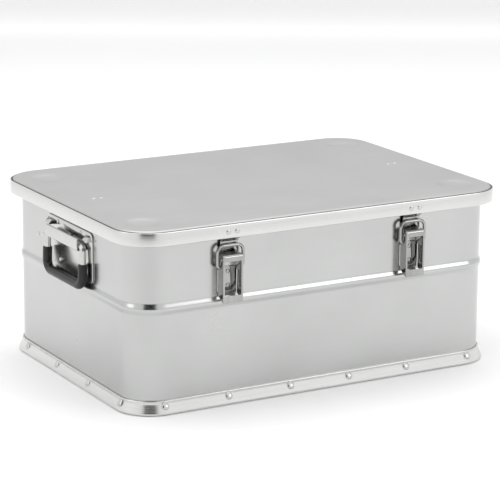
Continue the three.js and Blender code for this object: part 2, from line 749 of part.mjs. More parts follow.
function strap(sign) {
  const loops = [];
  const centres = Array.from({ length: STRAP_STEPS + 1 }, (_, i) => {
    const s = i / STRAP_STEPS;
    const [y, z] = strapPoint(s);
    const x = strapWallX + (STRAP_LID_X - strapWallX) * s;
    return new THREE.Vector3(sign * x, y, z);
  });
  centres.forEach((centre, i) => {
    const ahead = centres[Math.min(i + 1, STRAP_STEPS)];
    const behind = centres[Math.max(i - 1, 0)];
    const along = ahead.clone().sub(behind).normalize();
    const roll = (Math.PI / 2) * THREE.MathUtils.smoothstep(i / STRAP_STEPS, 0, 1);
    const flat = new THREE.Vector3(1, 0, 0);
    flat.addScaledVector(along, -along.x).normalize();
    const edge = new THREE.Vector3().crossVectors(along, flat);
    const across = edge.clone().multiplyScalar(Math.cos(roll)).addScaledVector(flat, sign * Math.sin(roll));
    const through = new THREE.Vector3().crossVectors(along, across);
    const corners = [[1, 1], [-1, 1], [-1, -1], [1, -1]];
    loops.push(
      corners.map(([a, b]) =>
        centre
          .clone()
          .addScaledVector(across, (a * STRAP_WIDTH) / 2)
          .addScaledVector(through, (b * STRAP_THICK) / 2),
      ),
    );
  });
  return skin(loops, false);
}
add('lid_strap_left', strap(-1), webbing);
add('lid_strap_right', strap(1), webbing);

// Rivets through the base frame, heads square to its flared skirt.
const rivetUp = FRAME_HEIGHT * 0.62;
const skirtOut = FRAME_TOP_OUT + (FRAME_HEIGHT - 1 - rivetUp) * Math.tan(skirtSlope);
function rivet() {
  const dome = [[0, 0], [1, 0], [0.94, 0.45], [0.6, 0.86], [0, 1]];
  const points = dome.map(([radius, height]) => new THREE.Vector2(radius * RIVET_R, height * RIVET_HEAD));
  const lean = new THREE.LatheGeometry(points, 10).translate(0, GAP, 0).rotateX(skirtSlope);
  return lean.translate(0, skirtOut, rivetUp);
}
function rivetRow(name, count, pitch, frame, offset) {
  for (let i = 0; i < count; i += 1) {
    const mesh = add(`base_rivet_${name}_${i + 1}`, rivet(), frameAluminium, frame);
    mesh.position.x = (i - (count - 1) / 2) * pitch + offset(i);
  }
}
const frontFrame = wallFrame(0, -BODY_Y, Math.PI);
rivetRow('front', RIVETS_LONG, RIVET_PITCH_LONG, frontFrame, (i) => RIVET_DRIFT[i]);
rivetRow('rear', RIVETS_LONG, RIVET_PITCH_LONG, wallFrame(0, BODY_Y, 0), () => 0);
rivetRow('left', RIVETS_SHORT, RIVET_PITCH_SHORT, wallFrame(-BODY_X, 0, Math.PI / 2), () => -RIVET_SHIFT);
rivetRow('right', RIVETS_SHORT, RIVET_PITCH_SHORT, wallFrame(BODY_X, 0, -Math.PI / 2), () => RIVET_SHIFT);

export default group;
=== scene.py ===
import math
import bmesh
import bpy
from mathutils import Matrix, Vector


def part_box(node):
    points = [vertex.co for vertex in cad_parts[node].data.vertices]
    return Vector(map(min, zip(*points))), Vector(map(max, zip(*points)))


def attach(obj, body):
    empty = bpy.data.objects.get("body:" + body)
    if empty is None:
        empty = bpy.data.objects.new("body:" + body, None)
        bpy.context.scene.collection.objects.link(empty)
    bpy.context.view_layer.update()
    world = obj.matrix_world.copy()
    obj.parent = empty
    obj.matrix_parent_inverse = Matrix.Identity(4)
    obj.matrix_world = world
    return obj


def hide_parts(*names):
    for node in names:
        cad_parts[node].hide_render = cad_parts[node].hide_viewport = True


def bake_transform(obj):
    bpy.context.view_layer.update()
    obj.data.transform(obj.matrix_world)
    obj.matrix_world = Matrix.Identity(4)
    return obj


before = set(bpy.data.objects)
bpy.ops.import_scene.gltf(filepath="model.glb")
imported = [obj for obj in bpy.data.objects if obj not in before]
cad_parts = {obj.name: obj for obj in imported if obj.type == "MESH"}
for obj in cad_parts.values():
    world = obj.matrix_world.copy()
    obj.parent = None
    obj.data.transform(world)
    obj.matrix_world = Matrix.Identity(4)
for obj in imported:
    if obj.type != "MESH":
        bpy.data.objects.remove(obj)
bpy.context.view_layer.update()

# Camera and studio. The camera stands low, at the left of the latch side. A plain pale floor runs
# out of sight, big soft lights hang over and beside it so that bare metal reads as pale grey, and
# two black cards give polished metal something dark to mirror.
MM = 0.001
AZIMUTH = 29.6
ELEVATION = 14.4
ROLL = 0.4
DISTANCE = 3.35
AIM_HEIGHT = 0.153

camera = bpy.data.objects.new("camera", bpy.data.cameras.new("camera"))
bpy.context.scene.collection.objects.link(camera)
camera.data.sensor_width = 36
camera.data.lens = 167.1
camera.data.clip_end = 60
camera.matrix_world = (
    Matrix.Translation((0, 0, AIM_HEIGHT))
    @ Matrix.Rotation(math.radians(-AZIMUTH), 4, "Z")
    @ Matrix.Rotation(math.radians(90 - ELEVATION), 4, "X")
    @ Matrix.Translation((0, 0, DISTANCE))
    @ Matrix.Rotation(math.radians(ROLL), 4, "Z")
)
bpy.context.scene.camera = camera
bpy.context.scene.view_settings.view_transform = "Standard"


def linear(hex_colour):
    parts = [int(hex_colour[i:i + 2], 16) / 255 for i in (1, 3, 5)]
    return [p / 12.92 if p <= 0.04045 else ((p + 0.055) / 1.055) ** 2.4 for p in parts] + [1]


def add_node(material, kind, inputs=None, **settings):
    made = material.node_tree.nodes.new(kind)
    for name, value in settings.items():
        setattr(made, name, value)
    for socket, value in (inputs or {}).items():
        if isinstance(value, bpy.types.NodeSocket):
            material.node_tree.links.new(value, made.inputs[socket])
        else:
            made.inputs[socket].default_value = value
    return made


def new_material(name):
    material = bpy.data.materials.new(name)
    material.use_nodes = True
    shader = material.node_tree.nodes["Principled BSDF"]
    return material, shader


def painted_floor():
    material, shader = new_material("pale_painted_floor")
    where = add_node(material, "ShaderNodeTexCoord").outputs["Object"]
    speckle = add_node(material, "ShaderNodeTexNoise", {"Vector": where, "Scale": 3.0, "Detail": 2.0})
    tone = add_node(
        material,
        "ShaderNodeMix",
        {0: speckle.outputs["Fac"], 6: linear("#FAFAFA"), 7: linear("#FDFDFD")},
        data_type="RGBA",
    )
    material.node_tree.links.new(tone.outputs[2], shader.inputs["Base Color"])
    shader.inputs["Roughness"].default_value = 0.9
    shader.inputs["Specular IOR Level"].default_value = 0.1
    return material


FLOOR_SIZE = 400.0
bm = bmesh.new()
bmesh.ops.create_grid(bm, x_segments=2, y_segments=2, size=FLOOR_SIZE / 2)
floor = bpy.data.objects.new("studio_floor", bpy.data.meshes.new("studio_floor"))
bm.to_mesh(floor.data)
bm.free()
bpy.context.scene.collection.objects.link(floor)
floor.data.materials.append(painted_floor())

def black_felt():
    material, shader = new_material("black_studio_felt")
    where = add_node(material, "ShaderNodeTexCoord").outputs["Object"]
    fibre = add_node(material, "ShaderNodeTexNoise", {"Vector": where, "Scale": 400.0}).outputs["Fac"]
    tone = add_node(
        material, "ShaderNodeMix", {0: fibre, 6: linear("#0C0C0C"), 7: linear("#161616")}, data_type="RGBA"
    )
    material.node_tree.links.new(tone.outputs[2], shader.inputs["Base Color"])
    shader.inputs["Roughness"].default_value = 0.95
    return material


def dark_card(name, azimuth, distance, foot, width, height):
    """Upright black card that polished metal mirrors as a dark band."""
    bm = bmesh.new()
    bmesh.ops.create_grid(bm, x_segments=2, y_segments=2, size=0.5)
    around = Matrix.Rotation(math.radians(azimuth), 4, "Z")
    upright = Matrix.Translation((0, -distance, foot + height / 2)) @ Matrix.Rotation(math.pi / 2, 4, "X")
    stretch = Matrix.Diagonal((width, height, 1, 1))
    bmesh.ops.transform(bm, matrix=around @ upright @ stretch, verts=bm.verts)
    card = bpy.data.objects.new(name, bpy.data.meshes.new(name))
    bm.to_mesh(card.data)
    bm.free()
    bpy.context.scene.collection.objects.link(card)
    card.data.materials.append(felt)


felt = black_felt()
dark_card("card_behind_camera", -AZIMUTH, 5.0, 0.4, 3.6, 4.6)
dark_card("card_behind_box", 180 - AZIMUTH, 3.0, 0.36, 5.0, 0.3)

world = bpy.data.worlds.new("soft_studio")
bpy.context.scene.world = world
world.use_nodes = True
world.node_tree.nodes["Background"].inputs["Color"].default_value = linear("#FFFFFF")
world.node_tree.nodes["Background"].inputs["Strength"].default_value = 1.0


def soft_light(name, place, aim, size, watts):
    light = bpy.data.lights.new(name, "AREA")
    light.shape = "RECTANGLE"
    light.size, light.size_y = size
    light.energy = watts
    lamp = bpy.data.objects.new(name, light)
    lamp.location = place
    lamp.rotation_euler = (Vector(aim) - Vector(place)).to_track_quat("-Z", "Y").to_euler()
    bpy.context.scene.collection.objects.link(lamp)


soft_light("overhead_softbox", (0.0, 0.3, 2.6), (0, 0, 0), (2.6, 2.0), 24)
soft_light("front_softbox", (1.8, -2.6, 1.6), (0, 0, 0.1), (1.2, 1.2), 10)
soft_light("left_softbox", (-2.8, 0.2, 1.5), (0, 0, 0.1), (1.2, 1.6), 6)

# Body wall. One sheet of rolled aluminium, bent round four corners, with a bead rolled into it for
# stiffness. The mill's rolling lines run along the sheet and give it a soft, level sheen.
BEAD_OUT = 2.6
BEAD_HALF = 9.5
WALL_SHEET = 1.2
WALL_CORNER = 45.0
CORNER_STEPS = 20


def node_box(name):
    low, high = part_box(name)
    return low / MM, high / MM


def carry(bm, edges, moves):
    """Carries edges along straight runs (a vector) and round turns (centre, axis, angle, steps)."""
    for move in moves:
        if isinstance(move, Vector):
            grown = bmesh.ops.extrude_edge_only(bm, edges=edges)["geom"]
            moved = [g for g in grown if isinstance(g, bmesh.types.BMVert)]
            bmesh.ops.translate(bm, verts=moved, vec=move)
            ends = set(moved)
            edges = [g for g in grown if isinstance(g, bmesh.types.BMEdge) and set(g.verts) <= ends]
        else:
            centre, axis, angle, steps = move
            ends = list({v for e in edges for v in e.verts})
            spun = bmesh.ops.spin(
                bm, geom=edges + ends, cent=centre, axis=axis, angle=angle, steps=steps, dvec=(0, 0, 0)
            )
            edges = [g for g in spun["geom_last"] if isinstance(g, bmesh.types.BMEdge)]
    return edges


def chain(bm, points, closed=False):
    verts = [bm.verts.new(p) for p in points]
    pairs = list(zip(verts, verts[1:]))
    if closed:
        pairs.append((verts[-1], verts[0]))
    return [bm.edges.new(pair) for pair in pairs]


def carry_round(profile, half_x, half_y, corner, closed=True):
    """A profile of (out, up) points carried once round a rounded rectangle."""
    bm = bmesh.new()
    flat_x, flat_y = half_x - corner, half_y - corner
    edges = chain(bm, [(half_x + out, -flat_y, up) for out, up in profile], closed)
    quarter = math.pi / 2
    moves = []
    for x, y, run in (
        (flat_x, flat_y, Vector((0, 2 * flat_y, 0))),
        (-flat_x, flat_y, Vector((-2 * flat_x, 0, 0))),
        (-flat_x, -flat_y, Vector((0, -2 * flat_y, 0))),
        (flat_x, -flat_y, Vector((2 * flat_x, 0, 0))),
    ):
        moves += [run, ((x, y, 0), (0, 0, 1), quarter, CORNER_STEPS)]
    carry(bm, edges, moves)
    bmesh.ops.remove_doubles(bm, verts=bm.verts, dist=0.001)
    return bm


def arc(centre, radius, start, end, steps):
    angles = [math.radians(start + (end - start) * i / steps) for i in range(steps + 1)]
    return [(centre[0] + radius * math.cos(a), centre[1] + radius * math.sin(a)) for a in angles]


def soften(bm, width, segments=2, sharper_than=30):
    limit = math.radians(sharper_than)
    sharp = [e for e in bm.edges if len(e.link_faces) == 2 and e.calc_face_angle() > limit]
    bmesh.ops.bevel(
        bm, geom=sharp, offset=width, segments=segments, profile=0.5,
        affect="EDGES", material=-1, clamp_overlap=True,
    )


def finish_piece(bm, name, material, body, nodes=(), turn_out=True):
    """Makes the finished mesh an object in metres, riding on its body in place of its CAD nodes."""
    if turn_out:
        bmesh.ops.recalc_face_normals(bm, faces=bm.faces)
    bmesh.ops.scale(bm, vec=(MM, MM, MM), verts=bm.verts)
    for face in bm.faces:
        face.smooth = True
    for edge in bm.edges:
        if len(edge.link_faces) == 2 and edge.calc_face_angle(0) > math.radians(40):
            edge.smooth = False
    piece = bpy.data.objects.new(name, bpy.data.meshes.new(name))
    bm.to_mesh(piece.data)
    bm.free()
    bpy.context.scene.collection.objects.link(piece)
    piece.data.materials.append(material)
    if body:
        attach(piece, body)
    if nodes:
        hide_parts(*nodes)
    return piece


def streaked_metal(name, dark, light, grain, rough, relief, clouds=0.35):
    """Metal whose fine lines run along the axes where grain (lines per metre) is low."""
    material, shader = new_material(name)
    where = add_node(material, "ShaderNodeTexCoord").outputs["Object"]
    along = add_node(material, "ShaderNodeMapping", {"Vector": where, "Scale": grain}).outputs["Vector"]
    lines = add_node(
        material, "ShaderNodeTexNoise", {"Vector": along, "Scale": 1.0, "Detail": 5.0, "Roughness": 0.65}
    ).outputs["Fac"]
    cloud = add_node(
        material, "ShaderNodeTexNoise", {"Vector": where, "Scale": 9.0, "Detail": 3.0, "Roughness": 0.55}
    ).outputs["Fac"]
    both = add_node(material, "ShaderNodeMix", {0: clouds, 2: lines, 3: cloud}).outputs[0]
    tone = add_node(
        material, "ShaderNodeMix", {0: both, 6: linear(dark), 7: linear(light)}, data_type="RGBA"
    ).outputs[2]
    gloss = add_node(
        material,
        "ShaderNodeMapRange",
        {"Value": both, "From Min": 0.3, "From Max": 0.7, "To Min": rough[0], "To Max": rough[1]},
    ).outputs["Result"]
    bump = add_node(
        material, "ShaderNodeBump", {"Height": lines, "Strength": relief, "Distance": 0.0002}
    ).outputs["Normal"]
    for socket, value in (("Base Color", tone), ("Roughness", gloss), ("Normal", bump)):
        material.node_tree.links.new(value, shader.inputs[socket])
    shader.inputs["Metallic"].default_value = 1.0
    return material


rolled_aluminium = streaked_metal(
    "rolled_aluminium_wall", "#B2B3B2", "#CBCCCB", (7, 7, 700), (0.16, 0.28), 0.05, 0.7
)
wall_low, wall_high = node_box("body_shell")
wall_x, wall_y = wall_high.x - BEAD_OUT, wall_high.y - BEAD_OUT
bead_up = node_box("handle_plate_left")[0].z - 10.0


def bead_profile(inset):
    steps = 14
    shares = [2 * i / steps - 1 for i in range(steps + 1)]
    return [(BEAD_OUT * 0.5 * (1 + math.cos(math.pi * u)) - inset, bead_up + BEAD_HALF * u) for u in shares]


wall = carry_round(
    [(0, wall_low.z), *bead_profile(0), (0, wall_high.z), (-WALL_SHEET, wall_high.z)]
    + [*reversed(bead_profile(WALL_SHEET)), (-WALL_SHEET, wall_low.z)],
    wall_x, wall_y, WALL_CORNER,
)
finish_piece(wall, "body_wall", rolled_aluminium, "case", ["body_shell"])

# Floor pan. A pressed aluminium tray that stands inside the foot of the wall. Four shallow round
# bosses in its corners drop into the dimples of the lid below when boxes are stacked.
PAN_SHEET = 1.2
PAN_BEND_R = 4.0
BOSS_R = 22.0
BOSS_DEPTH = 1.4
BOSS_SLOPE = 5.0
STACK_INSET = (50.0, 60.0)
pan_high = node_box("floor_pan")[1]
pan_floor = 3.7


def dish(bm, centres, radius, slope, depth):
    """Presses round dishes into the level face that the centres lie on; bisections lay the mesh first."""
    step = 3.0
    for axis in (0, 1):
        for middle in {round(c[axis], 3) for c in centres}:
            count = int((radius + 2 * step) / step)
            for i in range(-count, count + 1):
                plane = Vector((0, 0, 0))
                plane[axis] = middle + i * step
                normal = Vector((0, 0, 0))
                normal[axis] = 1
                level = [f for f in bm.faces if abs(f.normal.z) > 0.999]
                edges = {e for f in level for e in f.edges}
                verts = {v for f in level for v in f.verts}
                bmesh.ops.bisect_plane(bm, geom=[*level, *edges, *verts], plane_co=plane, plane_no=normal)
    for vert in bm.verts:
        for x, y in centres:
            reach = math.hypot(vert.co.x - x, vert.co.y - y)
            if reach < radius and all(abs(f.normal.z) > 0.999 for f in vert.link_faces):
                share = min(1.0, (radius - reach) / slope)
                vert.co.z -= depth * share * share * (3 - 2 * share)


def pan_sheet(profile, half_x, half_y, corner):
    """An open profile carried round, with its inner edge closed by one level face."""
    bm = carry_round(profile, half_x, half_y, corner, closed=False)
    bm.normal_update()
    edge_up = profile[-1][1]
    reach = half_x + profile[-1][0] + 0.01
    inner = [
        e for e in bm.edges
        if e.is_boundary and all(abs(v.co.z - edge_up) < 0.001 and abs(v.co.x) < reach for v in e.verts)
    ]
    bmesh.ops.contextual_create(bm, geom=inner)
    bmesh.ops.recalc_face_normals(bm, faces=bm.faces)
    bm.normal_update()
    return bm


def stack_points(half_x, half_y):
    x, y = half_x - STACK_INSET[0], half_y - STACK_INSET[1]
    return [(sx * x, sy * y) for sx in (-1, 1) for sy in (-1, 1)]


lid_low, lid_high = node_box("lid_rim")
pan_x, pan_y = pan_high.x, pan_high.y
pan = pan_sheet(
    [(0, pan_high.z), *arc((-PAN_BEND_R, pan_floor + PAN_BEND_R), PAN_BEND_R, 0, -90, 5), (-8, pan_floor)],
    pan_x, pan_y, WALL_CORNER - 2,
)
dish(pan, stack_points(lid_high.x, lid_high.y), BOSS_R, BOSS_SLOPE, BOSS_DEPTH)
for face in pan.faces:
    face.normal_flip()
bmesh.ops.solidify(pan, geom=pan.faces[:], thickness=-PAN_SHEET)
finish_piece(pan, "floor_tray", rolled_aluminium, "case", ["floor_pan"])

# Base frame. An extruded profile, mitred round the foot of the wall, that flares out to a rounded
# lip. Its die leaves fine lines along it, and it is brighter than the sheet.
extruded_aluminium = streaked_metal(
    "extruded_aluminium_profile", "#C8C8C7", "#E6E6E5", (5, 5, 1500), (0.20, 0.30), 0.16, 0.2
)
base_high = node_box("base_frame")[1]
base_flare = base_high.x - wall_x
base_up = base_high.z
SKIRT_TOP_OUT = 2.5
base = carry_round(
    [
        (0.15, base_up - 0.6), (0.15, base_up - 4), (5.0, 4.6), (4.6, 1.7), (-10, 1.7), (-10, 0),
        *arc((base_flare - 3.2, 3.2), 3.2, -90, 14, 6), (SKIRT_TOP_OUT, base_up - 5), (2.4, base_up - 2.8),
        *arc((1.9, base_up - 1.1), 1.1, -40, 90, 5), (0.5, base_up),
    ],
    wall_x, wall_y, WALL_CORNER,
)
finish_piece(base, "base_profile", extruded_aluminium, "case", ["base_frame"])

# Rivets of the base frame. Blind aluminium rivets with low domed heads, six on each long side and
# four on each end, square to the flared face.
rivet_aluminium = streaked_metal(
    "drawn_aluminium_rivet", "#B4B4B3", "#DADAD9", (300, 300, 300), (0.10, 0.18), 0.04
)


def rivet_head(radius, height):
    """A low domed head on a thin flange, standing up from the origin along Z."""
    bm = bmesh.new()
    dome = [(radius * math.cos(a), height * (0.18 + 0.82 * math.sin(a))) for a in
            [math.radians(d) for d in (0, 14, 30, 48, 66, 80)]]
    outline = [(radius * 0.96, -0.4), (radius * 1.02, height * 0.06)] + dome
    edges = chain(bm, [(r, 0, h) for r, h in outline] + [(0, 0, height)])
    bmesh.ops.spin(
        bm, geom=edges + bm.verts[:], cent=(0, 0, 0), axis=(0, 0, 1),
        angle=2 * math.pi, steps=24, dvec=(0, 0, 0), use_merge=True,
    )
    bmesh.ops.remove_doubles(bm, verts=bm.verts, dist=0.001)
    foot = [e for e in bm.edges if e.is_boundary]
    bmesh.ops.contextual_create(bm, geom=foot)
    bmesh.ops.recalc_face_normals(bm, faces=bm.faces)
    mesh = bpy.data.meshes.new("rivet_head")
    bm.to_mesh(mesh)
    bm.free()
    return mesh


def add_copies(bm, mesh, places):
    for place in places:
        start = len(bm.verts)
        bm.from_mesh(mesh)
        bm.verts.ensure_lookup_table()
        bmesh.ops.transform(bm, matrix=place, verts=bm.verts[start:])


def standing(point, normal):
    """Matrix that stands something made along +Z on the point, facing along the normal."""
    return Matrix.Translation(point) @ Vector(normal).to_track_quat("Z", "Y").to_matrix().to_4x4()


BASE_RIVET_R = 5.3
rivet_nodes = sorted(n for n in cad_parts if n.startswith("base_rivet"))
skirt_run, skirt_rise = base_flare - 0.1 - SKIRT_TOP_OUT, base_up - 9
skirt_lean = math.atan2(skirt_run, skirt_rise)
rivet_places = []
for name in rivet_nodes:
    low, high = node_box(name)
    point = (low + high) / 2
    skirt_out = SKIRT_TOP_OUT + (base_up - 5 - point.z) / skirt_rise * skirt_run
    side = name.split("_")[2]
    out = Vector({"front": (0, -1, 0), "rear": (0, 1, 0), "left": (-1, 0, 0), "right": (1, 0, 0)}[side])
    axis = 0 if out.x else 1
    point[axis] = out[axis] * ((wall_x, wall_y)[axis] + skirt_out)
    rivet_places.append(standing(point, out * math.cos(skirt_lean) + Vector((0, 0, math.sin(skirt_lean)))))
heads = bmesh.new()
add_copies(heads, rivet_head(BASE_RIVET_R, 2.2), rivet_places)
finish_piece(heads, "base_rivet_heads", rivet_aluminium, "case", rivet_nodes)

# Mouth profile. An extruded channel pressed over the top edge of the wall; the lid's gasket closes
# on its flat top.
rim_low, rim_high = node_box("body_rim")
rim_out = rim_high.x - wall_x
mouth = carry_round(
    [
        (0.15, rim_low.z), (rim_out - 0.4, rim_low.z), (rim_out, rim_low.z + 0.5),
        (rim_out, rim_high.z - 0.8),
        (rim_out - 0.8, rim_high.z), (-3.0, rim_high.z), (-3.7, rim_high.z - 0.7), (-3.7, rim_high.z - 8),
        (-1.5, rim_high.z - 8), (-1.5, rim_high.z - 2), (0.15, rim_high.z - 2),
    ],
    wall_x, wall_y, WALL_CORNER,
)
finish_piece(mouth, "mouth_profile", extruded_aluminium, "case", ["body_rim"])

# Lid band. An extruded profile bent round the lid; its inward ledge carries the panel and the
# gasket, and a fine groove is left between band and panel.
LID_CORNER = 55.0
lid_x, lid_y = lid_high.x, lid_high.y
band_top, band_foot = lid_high.z, lid_low.z
ledge_top = node_box("lid_panel")[0].z - 0.2
band = carry_round(
    [
        (-1.4, band_foot), (-0.5, band_foot), (0, band_foot + 0.5),
        (0, band_top - 1.0), (-0.3, band_top - 0.3), (-1.0, band_top), (-1.6, band_top - 0.2),
        (-1.8, band_top - 0.8), (-1.8, ledge_top), (-24, ledge_top), (-24, ledge_top - 1.4),
        (-1.8, ledge_top - 1.4), (-1.8, band_foot + 0.4),
    ],
    lid_x, lid_y, LID_CORNER,
)
finish_piece(band, "lid_band", extruded_aluminium, "lid", ["lid_rim"])

# Lid gasket. A flat strip of black rubber glued under the ledge.
gasket_low, gasket_high = node_box("lid_gasket")


def moulded_black(name, dark, light, rough, grain, relief):
    material, shader = new_material(name)
    where = add_node(material, "ShaderNodeTexCoord").outputs["Object"]
    pores = add_node(
        material, "ShaderNodeTexNoise", {"Vector": where, "Scale": grain, "Detail": 4.0, "Roughness": 0.6}
    ).outputs["Fac"]
    tone = add_node(
        material, "ShaderNodeMix", {0: pores, 6: linear(dark), 7: linear(light)}, data_type="RGBA"
    ).outputs[2]
    gloss = add_node(
        material,
        "ShaderNodeMapRange",
        {"Value": pores, "From Min": 0.3, "From Max": 0.7, "To Min": rough[0], "To Max": rough[1]},
    ).outputs["Result"]
    bump = add_node(
        material, "ShaderNodeBump", {"Height": pores, "Strength": relief, "Distance": 0.0003}
    ).outputs["Normal"]
    for socket, value in (("Base Color", tone), ("Roughness", gloss), ("Normal", bump)):
        material.node_tree.links.new(value, shader.inputs[socket])
    return material


gasket_rubber = moulded_black("epdm_gasket_rubber", "#141414", "#202020", (0.7, 0.85), 900.0, 0.3)
gasket_out = gasket_high.x - lid_x
gasket = carry_round(
    [
        (gasket_out, gasket_low.z + 0.5), (gasket_out, gasket_high.z + 0.2),
        (gasket_out - 6.5, gasket_high.z + 0.2), (gasket_out - 6.5, gasket_low.z + 0.5),
        (gasket_out - 5.6, gasket_low.z), (gasket_out - 0.9, gasket_low.z),
    ],
    lid_x, lid_y, LID_CORNER,
)
finish_piece(gasket, "lid_gasket_strip", gasket_rubber, "lid", ["lid_gasket"])

# Painted shade: a thin strip of black rubber laid in the groove between the band and the panel, standing in
# for the shadow in that groove.
groove_shade_strip = carry_round(
    [(-1.7, ledge_top + 0.1), (-1.7, band_top - 0.2), (-3.3, band_top + 0.2), (-3.3, ledge_top + 0.1)],
    lid_x, lid_y, LID_CORNER,
)
finish_piece(groove_shade_strip, "lid_groove_painted_shade", gasket_rubber, "lid")

# Lid panel. One sheet pressed to a shallow tray: a rounded edge that stands a little above the
# band, and a shallow round dimple in each corner for stacking. Its rolling lines run lengthwise.
PANEL_SHEET = 1.2
PANEL_EDGE_R = 5.0
DIMPLE_R = 28.0
DIMPLE_SLOPE = 15.0
DIMPLE_DEPTH = 2.6
panel_low, panel_high = node_box("lid_panel")
panel_sheet = streaked_metal(
    "rolled_aluminium_lid", "#A6A7A6", "#CACBCA", (7, 700, 7), (0.40, 0.52), 0.10
)
panel_edge_z = panel_high.z - PANEL_EDGE_R
panel_side = panel_high.x - lid_x
panel = pan_sheet(
    [
        (panel_side, panel_low.z),
        *arc((panel_side - PANEL_EDGE_R, panel_edge_z), PANEL_EDGE_R, 0, 90, 8),
        (panel_side - PANEL_EDGE_R - 2, panel_high.z),
    ],
    lid_x, lid_y, LID_CORNER,
)
dish(panel, stack_points(lid_x, lid_y), DIMPLE_R, DIMPLE_SLOPE, DIMPLE_DEPTH)
if max(panel.faces, key=lambda f: f.calc_area()).normal.z < 0:
    for face in panel.faces:
        face.normal_flip()
bmesh.ops.solidify(panel, geom=panel.faces[:], thickness=PANEL_SHEET)
finish_piece(panel, "lid_sheet", panel_sheet, "lid", ["lid_panel"])

# Lid rivets. Two flat rivets through the panel hold each lid strap, and two small domed ones
# through the band hold each latch catch.
STRAP_RIVET_GAP = 11.0
CATCH_RIVET_GAP = 13.4
STRAP_X, STRAP_Y = 242.0, 3.0
latch_xs = {}
for side in ("left", "right"):
    low, high = node_box(f"latch_lever_{side}")
    latch_xs[side] = (low.x + high.x) / 2
lid_rivets = bmesh.new()
top_places = [
    standing((sign * STRAP_X + shift * STRAP_RIVET_GAP / 2, STRAP_Y, panel_high.z), (0, 0, 1))
    for sign in (-1, 1) for shift in (-1, 1)
]
band_places = [
    standing((x + shift * CATCH_RIVET_GAP / 2, -lid_y, band_foot + 9), (0, -1, 0))
    for x in latch_xs.values() for shift in (-1, 1)
]
add_copies(lid_rivets, rivet_head(3.8, 0.9), top_places)
add_copies(lid_rivets, rivet_head(3.5, 1.8), band_places)
finish_piece(lid_rivets, "lid_rivet_heads", rivet_aluminium, "lid")

# Wall rivets of the lid straps: two flat heads outside each end wall.
STRAP_WALL_RIVETS = ((90, 190), (107, 187))  # (across, up)
wall_rivets = bmesh.new()
wall_places = [
    standing((sign * wall_x, y, up), (sign, 0, 0)) for sign in (-1, 1) for y, up in STRAP_WALL_RIVETS
]
add_copies(wall_rivets, rivet_head(3.4, 1.0), wall_places)
finish_piece(wall_rivets, "strap_wall_rivet_heads", rivet_aluminium, "case")

# Toggle latches. Polished stainless steel: a riveted base with two cheeks, a lever with a window
# and a rolled top that turns on a pin, a wire loop sprung into the lever's sides, and a folded
# catch behind the lid band.
polished_steel = streaked_metal(
    "polished_stainless_steel", "#7C7C7A", "#C2C2C0", (260, 260, 30), (0.05, 0.13), 0.06, 0.5
)


def wall_place(x, y, degrees):
    """Matrix from a wall's own frame (along, out, up) to the box."""
    return Matrix.Translation((x, y, 0)) @ Matrix.Rotation(math.radians(degrees), 4, "Z")


def prism(outline, span, axis=0):
    """A closed outline of (out, up) points pushed along X, or of (along, up) points pushed out."""
    bm = bmesh.new()
    points = [(span[0], a, b) if axis == 0 else (a, span[0], b) for a, b in outline]
    bmesh.ops.contextual_create(bm, geom=chain(bm, points, closed=True))
    grown = bmesh.ops.extrude_face_region(bm, geom=bm.faces[:])["geom"]
    push = Vector((0, 0, 0))
    push[axis] = span[1] - span[0]
    bmesh.ops.translate(bm, verts=[g for g in grown if isinstance(g, bmesh.types.BMVert)], vec=push)
    bmesh.ops.recalc_face_normals(bm, faces=bm.faces)
    return bm


def wire(x, out, up, radius, moves, sides=20):
    """Round wire that sets off along X: a ring carried along its route and closed at both ends."""
    bm = bmesh.new()
    circle = [(2 * math.pi * i / sides) for i in range(sides)]
    points = [(x, out + radius * math.cos(a), up + radius * math.sin(a)) for a in circle]
    carry(bm, chain(bm, points, closed=True), moves)
    bmesh.ops.remove_doubles(bm, verts=bm.verts, dist=0.0005)
    bmesh.ops.holes_fill(bm, edges=[e for e in bm.edges if e.is_boundary], sides=0)
    bmesh.ops.recalc_face_normals(bm, faces=bm.faces)
    return bm


def gather(place, *parts):
    """The parts as one mesh, moved to their place on the box."""
    whole = bmesh.new()
    for part in parts:
        mesh = bpy.data.meshes.new("part")
        part.to_mesh(mesh)
        part.free()
        whole.from_mesh(mesh)
        bpy.data.meshes.remove(mesh)
    bmesh.ops.transform(whole, matrix=place, verts=whole.verts)
    return whole


def rounded_plate(half_x, low, high, corner):
    """Outline of (along, up) points with four round corners."""
    side, top, foot = half_x - corner, high - corner, low + corner
    centres = ((side, top, 0), (-side, top, 90), (-side, foot, 180), (side, foot, 270))
    return [p for x, up, start in centres for p in arc((x, up), corner, start, start + 90, 5)]


def rivets_on(points, out, radius, height):
    """Rivet heads at (along, up) points of a face that stands this far out."""
    bm = bmesh.new()
    add_copies(bm, rivet_head(radius, height), [standing((x, out, up), (0, 1, 0)) for x, up in points])
    return bm


LEVER_HALF = 15.2
LEVER_INNER = 13.9
LATCH_SHEET = 1.3
SEAT_GAP = 0.3  # a base or plate stands this far off the wall
LEVER_BACK = 1.8
WINDOW_HALF = 12.6
CHEEK_HALF = 13.2
LOOP_R = 2.2
PIVOT_OUT, PIVOT_DOWN = 10.5, 6.4
LOOP_OUT, LOOP_DOWN = 8.2, 17.4


